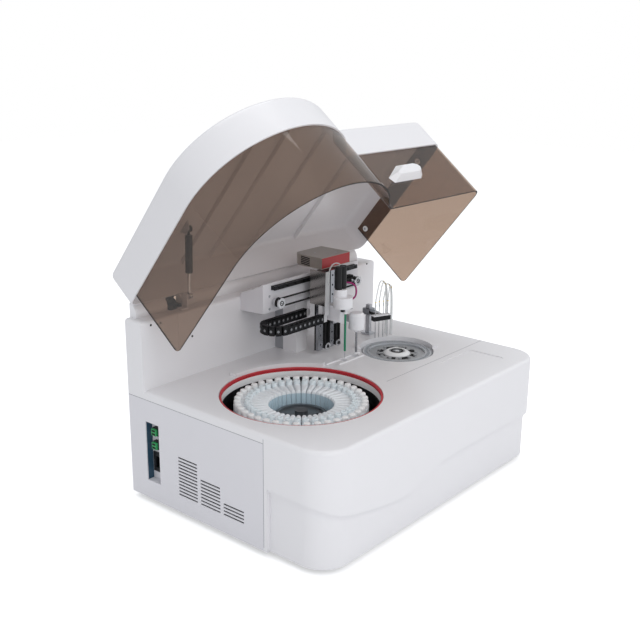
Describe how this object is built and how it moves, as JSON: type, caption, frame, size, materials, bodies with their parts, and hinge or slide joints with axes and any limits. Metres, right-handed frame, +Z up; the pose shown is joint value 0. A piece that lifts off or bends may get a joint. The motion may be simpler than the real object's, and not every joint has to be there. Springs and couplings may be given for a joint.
{
  "type": "chemistry analyser",
  "caption": "Benchtop clinical chemistry analyser with smoked visor lid open over a reagent rotor, a reaction ring, and a travelling probe and mixer.",
  "frame": {"origin": "on the bench, under the middle of the overall box", "axes": "+X to the right seen from the front, +Y to the back, +Z up"},
  "size_m": [0.69, 0.5259, 0.7485],
  "materials": {
    "base_pan": "satin",
    "cable_chain": "satin",
    "carriage_frame": "polished",
    "connectors": "satin",
    "cuvettes": "clear",
    "electronics": "satin",
    "feet": "matt",
    "front_cover": "satin",
    "gantry_plate": "brushed",
    "gantry_post": "satin",
    "gas_cylinder": "satin",
    "gas_rod": "polished",
    "hinge_bases": "satin",
    "io_panel": "satin",
    "lid_handle": "satin",
    "lid_hinges": "satin",
    "lid_shell": "satin",
    "lid_visor": "smoked, clear",
    "mixer_carrier": "satin",
    "mixer_head": "satin",
    "mixer_pulley": "machined",
    "mixer_rod": "satin",
    "motor_cover": "satin",
    "needle": "polished",
    "needle_sleeve": "satin",
    "pit_gasket": "matt",
    "post_spacer": "satin",
    "probe_carrier": "satin",
    "probe_cells": "satin",
    "probe_head": "satin",
    "probe_pulley": "machined",
    "reaction_bath": "satin",
    "reaction_disc": "satin",
    "reagent_bottles": "translucent",
    "reagent_pit": "satin",
    "reagent_rotor": "satin",
    "rear_panel": "satin",
    "rinse_wells": "satin",
    "rotor_motors": "satin",
    "side_panel_left": "satin",
    "side_panel_right": "satin",
    "slide_belts": "matt",
    "slide_frame": "satin",
    "slide_rails": "ground",
    "strut_bracket": "satin",
    "syringe_pumps": "satin",
    "upper_housing": "satin",
    "wash_head": "satin",
    "wash_needles": "polished",
    "wash_post": "satin",
    "wash_tubes": "clear",
    "x_belt": "matt",
    "x_drive_pulley": "machined",
    "x_idler_pulley": "machined",
    "x_motor": "satin",
    "x_rail": "black oxide",
    "x_slider": "satin"
  },
  "bodies": {
    "root": {"base_pan": "base_pan", "cable_chain": "cable_chain", "connectors": "connectors", "electronics": "electronics", "feet": "feet", "front_cover": "front_cover", "gantry_plate": "gantry_plate", "gantry_post": "gantry_post", "hinge_bases": "hinge_bases", "io_panel": "io_panel", "pit_gasket": "pit_gasket", "post_spacer": "post_spacer", "reaction_bath": "reaction_bath", "reagent_pit": "reagent_pit", "rear_panel": "rear_panel", "rinse_wells": "rinse_wells", "rotor_motors": "rotor_motors", "side_panel_left": "side_panel_left", "side_panel_right": "side_panel_right", "syringe_pumps": "syringe_pumps", "upper_housing": "upper_housing", "wash_post": "wash_post", "wash_tubes": "wash_tubes", "x_belt": "x_belt", "x_motor": "x_motor", "x_rail": "x_rail"},
    "lid": {"lid_shell": "lid_shell", "lid_visor": "lid_visor", "lid_handle": "lid_handle", "lid_hinges": "lid_hinges", "strut_bracket": "strut_bracket"},
    "gas_cylinder": {"gas_cylinder": "gas_cylinder"},
    "gas_rod": {"gas_rod": "gas_rod"},
    "carriage": {"carriage_frame": "carriage_frame", "x_slider": "x_slider", "motor_cover": "motor_cover", "slide_frame": "slide_frame", "slide_rails": "slide_rails", "slide_belts": "slide_belts"},
    "probe_pulley": {"probe_pulley": "probe_pulley"},
    "mixer_pulley": {"mixer_pulley": "mixer_pulley"},
    "probe": {"probe_carrier": "probe_carrier", "probe_head": "probe_head", "probe_cells": "probe_cells", "needle": "needle", "needle_sleeve": "needle_sleeve"},
    "mixer": {"mixer_carrier": "mixer_carrier", "mixer_head": "mixer_head", "mixer_rod": "mixer_rod"},
    "wash": {"wash_head": "wash_head", "wash_needles": "wash_needles"},
    "reagent_rotor": {"reagent_rotor": "reagent_rotor", "reagent_bottles": "reagent_bottles"},
    "reaction_rotor": {"reaction_disc": "reaction_disc", "cuvettes": "cuvettes"},
    "x_drive": {"x_drive_pulley": "x_drive_pulley"},
    "x_idler": {"x_idler_pulley": "x_idler_pulley"}
  },
  "joints": [
    {"name": "lid_hinge", "type": "hinge", "parent": "root", "child": "lid", "pos_m": [0, 0.2211, 0.3612], "axis": [1, 0, 0], "range_deg": [0, 51.1]},
    {"name": "gas_cylinder_pivot", "type": "hinge", "parent": "lid", "child": "gas_cylinder", "pos_m": [-0.214, 0.18562, 0.50501], "axis": [1, 0, 0], "range_deg": [-0.5, 12.65]},
    {"name": "gas_rod_slide", "type": "slide", "parent": "gas_cylinder", "child": "gas_rod", "axis": [0, 0.03, -0.9995], "range_m": [-0.01634, 0.0002]},
    {"name": "x_slide", "type": "slide", "parent": "root", "child": "carriage", "axis": [-1, 0, 0], "range_m": [-0.0733, 0.1213], "deforming": ["cable_chain"]},
    {"name": "x_drive_spin", "type": "hinge", "parent": "root", "child": "x_drive", "pos_m": [-0.062, 0.1, 0.348], "axis": [0, 1, 0], "range_deg": [-820.6, 497.1]},
    {"name": "x_idler_spin", "type": "hinge", "parent": "root", "child": "x_idler", "pos_m": [0.18, 0.1, 0.348], "axis": [0, 1, 0], "range_deg": [-820.6, 497.1]},
    {"name": "probe_slide", "type": "slide", "parent": "carriage", "child": "probe", "axis": [0, 0, -1], "range_m": [0, 0.06]},
    {"name": "probe_pulley_spin", "type": "hinge", "parent": "carriage", "child": "probe_pulley", "pos_m": [0.048, 0.068, 0.239], "axis": [0, 1, 0], "range_deg": [-531.9, 3]},
    {"name": "mixer_slide", "type": "slide", "parent": "carriage", "child": "mixer", "axis": [0, 0, -1], "range_m": [0, 0.03]},
    {"name": "mixer_pulley_spin", "type": "hinge", "parent": "carriage", "child": "mixer_pulley", "pos_m": [0.0825, 0.068, 0.239], "axis": [0, 1, 0], "range_deg": [-267.4, 3]},
    {"name": "wash_slide", "type": "slide", "parent": "root", "child": "wash", "axis": [0, 0, -1], "range_m": [0, 0.035]},
    {"name": "reagent_spin", "type": "hinge", "parent": "root", "child": "reagent_rotor", "pos_m": [-0.1613, -0.0478, 0.12], "axis": [0, 0, 1], "continuous": true},
    {"name": "reaction_spin", "type": "hinge", "parent": "root", "child": "reaction_rotor", "pos_m": [0.162, -0.0292, 0.2], "axis": [0, 0, 1], "continuous": true}
  ],
  "couplings": [
    {"joint": "gas_cylinder_pivot", "follows": "lid_hinge", "ratio": 0.23782},
    {"joint": "gas_rod_slide", "follows": "lid_hinge", "m_per_rad": -0.017762},
    {"joint": "x_drive_spin", "follows": "x_slide", "rad_per_m": -117.65},
    {"joint": "x_idler_spin", "follows": "x_slide", "rad_per_m": -117.65},
    {"joint": "probe_pulley_spin", "follows": "probe_slide", "rad_per_m": -153.85},
    {"joint": "mixer_pulley_spin", "follows": "mixer_slide", "rad_per_m": -153.85}
  ]
}
